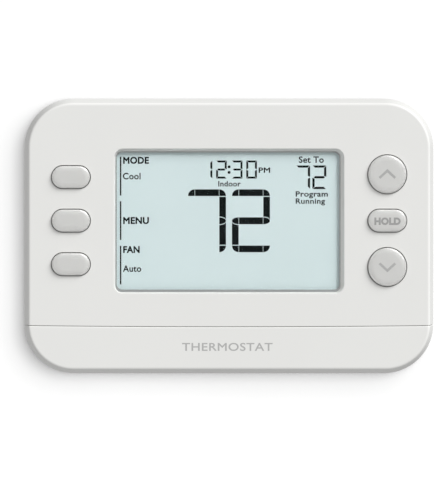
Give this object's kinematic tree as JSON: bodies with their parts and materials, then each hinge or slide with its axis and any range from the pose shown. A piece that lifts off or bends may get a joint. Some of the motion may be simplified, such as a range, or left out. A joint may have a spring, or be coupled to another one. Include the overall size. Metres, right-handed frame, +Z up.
{
  "type": "wall thermostat",
  "caption": "Wall thermostat: display window, keys on both sides, slide-down battery cover, and a pull-off housing on a wall plate with push-in terminals.",
  "frame": {"origin": "on the wall plane, at the centre of the wall-screw pattern, which is also the middle of the case outline", "axes": "+X to the right as seen from the room, +Z up, +Y into the wall; the display faces -Y"},
  "size_m": [0.133, 0.0284, 0.0892],
  "materials": {
    "case_white": "fine satin texture",
    "cover_white": "fine satin texture",
    "rear_white": "fine satin texture",
    "plate_white": "satin",
    "terminal_white": "satin",
    "button_grey": "satin",
    "clear_window": "clear, polished",
    "foam_black": "matt",
    "display_glass": "satin, pale blue-grey",
    "frame_white": "satin",
    "light_guide": "frosted acrylic",
    "led_yellow": "gloss",
    "zebra_rubber": "matt",
    "board_green": "solder mask, semi-gloss",
    "chip_black": "matt",
    "chip_brown": "matt",
    "moulded_black": "satin",
    "plunger_black": "satin",
    "relay_white": "semi-gloss",
    "capacitor_blue": "printed sleeve, semi-gloss",
    "cell_jacket": "dark plain jacket, semi-gloss",
    "contact_nickel": "nickel plate",
    "spring_steel": "nickel plate",
    "spring_bronze": "satin",
    "pin_brass": "bright",
    "screw_steel": "zinc plate",
    "lever_orange": "satin"
  },
  "bodies": {
    "wall_plate": {"wall_plate": "plate_white", "terminal_block_left": "terminal_white", "terminal_block_right": "terminal_white", "terminal_clamps": "spring_bronze", "contact_pins": "pin_brass", "jumper_contacts": "spring_bronze"},
    "housing": {"rear_cover": "rear_white", "front_cover": "case_white", "window_lens": "clear_window", "lens_gasket": "foam_black", "lcd_panel": "display_glass", "lcd_frame": "frame_white", "light_guide": "light_guide", "backlight_leds": "led_yellow", "zebra_strips": "zebra_rubber", "main_board": "board_green", "switch_bodies": "moulded_black", "microcontroller": "chip_black", "relays": "relay_white", "capacitors": "capacitor_blue", "small_parts": "chip_brown", "pin_sockets": "moulded_black", "temperature_sensor": "chip_black", "battery_left": "cell_jacket", "battery_right": "cell_jacket", "positive_contact": "contact_nickel", "bridge_contact": "contact_nickel", "negative_contact": "contact_nickel", "bridge_spring": "spring_steel", "end_spring": "spring_steel", "case_screws": "screw_steel", "board_screws": "screw_steel"},
    "battery_cover": {"battery_cover": "cover_white"},
    "jumper": {"jumper_slider": "moulded_black"},
    "mode_button": {"button_mode": "button_grey", "plunger_mode": "plunger_black"},
    "menu_button": {"button_menu": "button_grey", "plunger_menu": "plunger_black"},
    "fan_button": {"button_fan": "button_grey", "plunger_fan": "plunger_black"},
    "up_button": {"button_up": "button_grey", "plunger_up": "plunger_black"},
    "hold_button": {"button_hold": "button_grey", "plunger_hold": "plunger_black"},
    "down_button": {"button_down": "button_grey", "plunger_down": "plunger_black"},
    "lever_1": {"release_lever_1": "lever_orange"},
    "lever_2": {"release_lever_2": "lever_orange"},
    "lever_3": {"release_lever_3": "lever_orange"},
    "lever_4": {"release_lever_4": "lever_orange"},
    "lever_5": {"release_lever_5": "lever_orange"},
    "lever_6": {"release_lever_6": "lever_orange"},
    "lever_7": {"release_lever_7": "lever_orange"},
    "lever_8": {"release_lever_8": "lever_orange"},
    "lever_9": {"release_lever_9": "lever_orange"},
    "lever_10": {"release_lever_10": "lever_orange"}
  },
  "joints": [
    {"name": "pull_off", "type": "slide", "parent": "wall_plate", "child": "housing", "axis": [0, -1, 0], "range_m": [0, 0.05]},
    {"name": "battery_cover_slide", "type": "slide", "parent": "housing", "child": "battery_cover", "axis": [0, 0, -1], "range_m": [0, 0.03]},
    {"name": "jumper_slide", "type": "slide", "parent": "wall_plate", "child": "jumper", "axis": [1, 0, 0], "range_m": [0, 0.005]},
    {"name": "press_mode", "type": "slide", "parent": "housing", "child": "mode_button", "axis": [0, 1, 0], "range_m": [0, 0.0005], "stiffness_N_per_m": 3000},
    {"name": "press_menu", "type": "slide", "parent": "housing", "child": "menu_button", "axis": [0, 1, 0], "range_m": [0, 0.0005], "stiffness_N_per_m": 3000},
    {"name": "press_fan", "type": "slide", "parent": "housing", "child": "fan_button", "axis": [0, 1, 0], "range_m": [0, 0.0005], "stiffness_N_per_m": 3000},
    {"name": "press_up", "type": "slide", "parent": "housing", "child": "up_button", "axis": [0, 1, 0], "range_m": [0, 0.0005], "stiffness_N_per_m": 3000},
    {"name": "press_hold", "type": "slide", "parent": "housing", "child": "hold_button", "axis": [0, 1, 0], "range_m": [0, 0.0005], "stiffness_N_per_m": 3000},
    {"name": "press_down", "type": "slide", "parent": "housing", "child": "down_button", "axis": [0, 1, 0], "range_m": [0, 0.0005], "stiffness_N_per_m": 3000},
    {"name": "press_lever_1", "type": "slide", "parent": "wall_plate", "child": "lever_1", "axis": [0, 1, 0], "range_m": [0, 0.001], "stiffness_N_per_m": 5000},
    {"name": "press_lever_2", "type": "slide", "parent": "wall_plate", "child": "lever_2", "axis": [0, 1, 0], "range_m": [0, 0.001], "stiffness_N_per_m": 5000},
    {"name": "press_lever_3", "type": "slide", "parent": "wall_plate", "child": "lever_3", "axis": [0, 1, 0], "range_m": [0, 0.001], "stiffness_N_per_m": 5000},
    {"name": "press_lever_4", "type": "slide", "parent": "wall_plate", "child": "lever_4", "axis": [0, 1, 0], "range_m": [0, 0.001], "stiffness_N_per_m": 5000},
    {"name": "press_lever_5", "type": "slide", "parent": "wall_plate", "child": "lever_5", "axis": [0, 1, 0], "range_m": [0, 0.001], "stiffness_N_per_m": 5000},
    {"name": "press_lever_6", "type": "slide", "parent": "wall_plate", "child": "lever_6", "axis": [0, 1, 0], "range_m": [0, 0.001], "stiffness_N_per_m": 5000},
    {"name": "press_lever_7", "type": "slide", "parent": "wall_plate", "child": "lever_7", "axis": [0, 1, 0], "range_m": [0, 0.001], "stiffness_N_per_m": 5000},
    {"name": "press_lever_8", "type": "slide", "parent": "wall_plate", "child": "lever_8", "axis": [0, 1, 0], "range_m": [0, 0.001], "stiffness_N_per_m": 5000},
    {"name": "press_lever_9", "type": "slide", "parent": "wall_plate", "child": "lever_9", "axis": [0, 1, 0], "range_m": [0, 0.001], "stiffness_N_per_m": 5000},
    {"name": "press_lever_10", "type": "slide", "parent": "wall_plate", "child": "lever_10", "axis": [0, 1, 0], "range_m": [0, 0.001], "stiffness_N_per_m": 5000}
  ]
}
